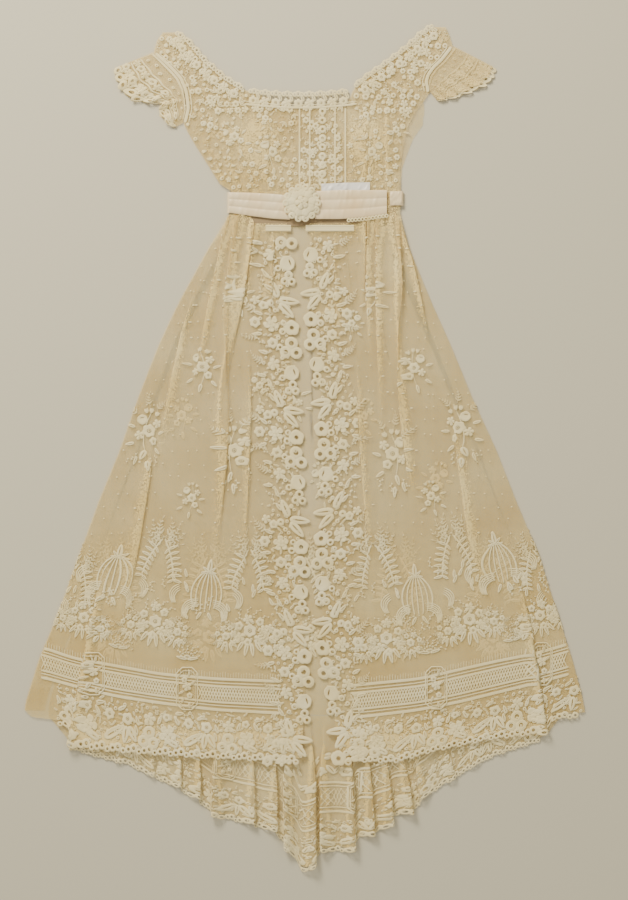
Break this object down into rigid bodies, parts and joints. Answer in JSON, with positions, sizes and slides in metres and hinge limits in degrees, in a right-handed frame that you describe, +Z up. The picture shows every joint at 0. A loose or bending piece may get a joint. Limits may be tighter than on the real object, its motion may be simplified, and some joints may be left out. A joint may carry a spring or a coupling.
{
  "type": "lace wedding dress",
  "caption": "Net and lace wedding dress laid flat: wide neck, cap sleeves, pleated ribbon belt, open-front skirt with lace borders and a short fluted train.",
  "frame": {"origin": "on the ground, under the back skirt, where the dress's long line crosses the middle of its length", "axes": "+Z up from the ground through the flat dress, +Y from hem to neck, +X to the right of someone who looks down at its front"},
  "size_m": [1.0686, 1.6032, 0.0169],
  "materials": {
    "net": "cream cotton net, matt and sheer",
    "lace": "cream cotton lace, matt",
    "ribbon": "cream silk ribbon, soft sheen",
    "satin": "white silk satin, soft sheen",
    "tape": "tan grosgrain tape, matt"
  },
  "bodies": {
    "root": {"bodice_front_left": "net", "bodice_front_right": "net", "bodice_centre": "lace", "bodice_back_left": "net", "bodice_back_right": "net", "neck_border_front": "lace", "neck_border_left": "lace", "neck_border_right": "lace", "armhole_binding_left": "lace", "armhole_binding_right": "lace", "sleeve_left": "lace", "sleeve_right": "lace", "waist_tape": "tape", "belt_left": "ribbon", "belt_right": "ribbon", "belt_end": "ribbon", "belt_back": "ribbon", "belt_satin_fold": "satin", "belt_edging": "lace", "belt_rosette": "lace", "skirt_casing_left": "net", "skirt_casing_right": "net", "skirt_front_left": "net", "skirt_front_right": "net", "front_border_left": "lace", "front_border_right": "lace", "insertion_left": "lace", "insertion_right": "lace", "hem_border_left": "lace", "hem_border_right": "lace", "skirt_back": "net", "train_flounce": "lace"}
  },
  "joints": []
}
